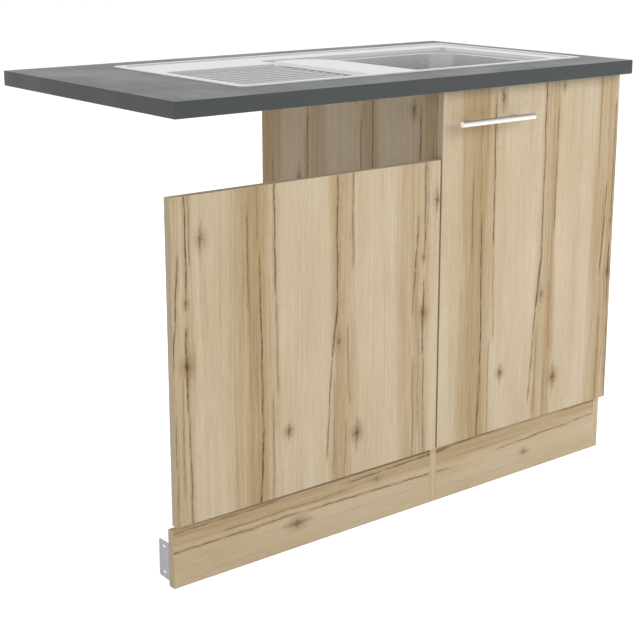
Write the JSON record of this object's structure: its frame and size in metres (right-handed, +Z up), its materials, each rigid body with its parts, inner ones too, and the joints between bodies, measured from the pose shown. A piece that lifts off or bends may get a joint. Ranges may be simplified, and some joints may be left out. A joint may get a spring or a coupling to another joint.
{
  "type": "kitchen sink unit",
  "caption": "Kitchen sink unit: a grey worktop with an inset steel sink and ribbed drainer, a wood-decor base cabinet with a T-bar door, and a bay for a dishwasher behind a matching front.",
  "frame": {"origin": "on the floor, at the middle of the unit's length and of its depth from the handle's front to the worktop's rear edge", "axes": "+Z is up, +X runs along the worktop from the dishwasher bay to the cabinet, and the door and the dishwasher front face -Y"},
  "size_m": [1.1, 0.606, 0.8526],
  "materials": {
    "worktop_laminate": "slate-grey laminate, slightly textured",
    "sink_steel": "fine brushed stainless",
    "oak_decor": "light plank decor with thin dark cracks and knots",
    "carcass": "the same decor on chipboard, matt",
    "beech": "raw beech",
    "galvanised": "galvanised sheet",
    "zinc": "zinc-plated",
    "hinge_steel": "nickel-plated",
    "handle_steel": "brushed nickel",
    "plastic_white": "moulded plastic",
    "foam": "soft foam"
  },
  "bodies": {
    "unit": {"bottom_panel": "carcass", "cabinet_plinth": "oak_decor", "cam_bolts": "zinc", "cam_housings": "zinc", "dishwasher_plinth": "oak_decor", "door_bumpers": "foam", "dowels": "beech", "front_rail": "carcass", "hinge_arm_screws": "zinc", "hinge_arms": "hinge_steel", "hinge_plate_screws": "zinc", "hinge_plates": "hinge_steel", "overflow_cover": "sink_steel", "overflow_elbow": "plastic_white", "overflow_pipe": "plastic_white", "overflow_screw": "zinc", "overflow_seal": "foam", "plinth_bracket_left": "galvanised", "plinth_bracket_right": "galvanised", "plinth_bracket_screws": "zinc", "rear_rail_bottom": "carcass", "rear_rail_top": "carcass", "side_panel_left": "carcass", "side_panel_right": "carcass", "sink": "sink_steel", "sink_clip_screws": "zinc", "sink_clips": "galvanised", "sink_rails": "galvanised", "sink_seal": "foam", "waste_body": "plastic_white", "waste_flange": "sink_steel", "waste_outlet": "plastic_white", "waste_screw": "zinc", "waste_seal": "foam", "worktop": "worktop_laminate", "worktop_bracket_screws": "zinc", "worktop_brackets": "galvanised"},
    "door_leaf": {"door": "oak_decor", "hinge_cups": "hinge_steel", "hinge_cup_screws": "zinc", "handle_bar": "handle_steel", "handle_posts": "handle_steel", "handle_screws": "zinc"},
    "dishwasher_leaf": {"dishwasher_front": "oak_decor"},
    "basket": {"waste_basket": "sink_steel"}
  },
  "joints": [
    {"name": "door_swing", "type": "hinge", "parent": "unit", "child": "door_leaf", "pos_m": [0.546, -0.2657, 0.47], "axis": [0, 0, 1], "range_deg": [0, 100]},
    {"name": "dishwasher_front_tilt", "type": "hinge", "parent": "unit", "child": "dishwasher_leaf", "pos_m": [-0.25, -0.237, 0.17], "axis": [1, 0, 0], "range_deg": [0, 90]},
    {"name": "basket_lift", "type": "slide", "parent": "unit", "child": "basket", "axis": [0, 0, 1], "range_m": [0, 0.06]}
  ]
}
